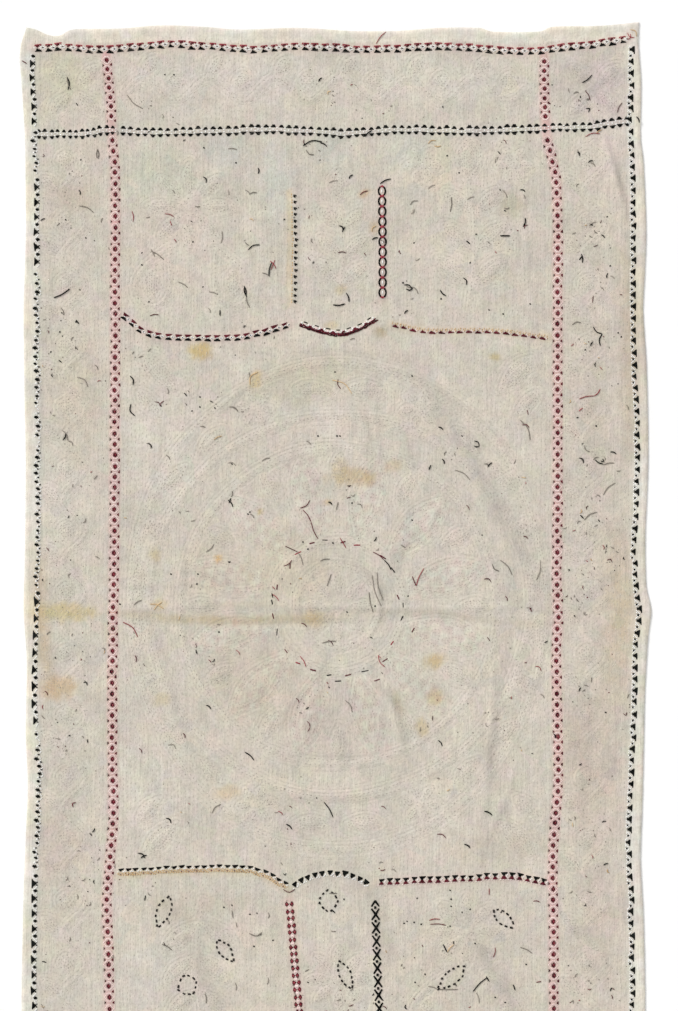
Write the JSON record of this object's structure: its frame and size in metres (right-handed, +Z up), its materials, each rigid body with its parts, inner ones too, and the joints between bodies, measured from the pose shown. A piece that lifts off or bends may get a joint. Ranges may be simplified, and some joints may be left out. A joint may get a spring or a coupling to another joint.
{
  "type": "nakshi kantha",
  "caption": "Hand-quilted and embroidered cotton cloth with stitched borders and a ringed medallion, spread flat, reverse side up.",
  "frame": {"origin": "on the surface that the cloth lies on, under the middle of its bounding box", "axes": "+Y along the cloth's length, towards the end with the red and black border in the picture, +X across it, +Z up out of the face that shows"},
  "size_m": [0.928, 1.722, 0.0051],
  "materials": {
    "quilted_cotton": "matte, worn plain weave",
    "red_thread": "matte",
    "dark_thread": "matte",
    "ochre_thread": "matte",
    "white_thread": "matte"
  },
  "bodies": {
    "root": {"kantha": "quilted_cotton"}
  },
  "joints": []
}
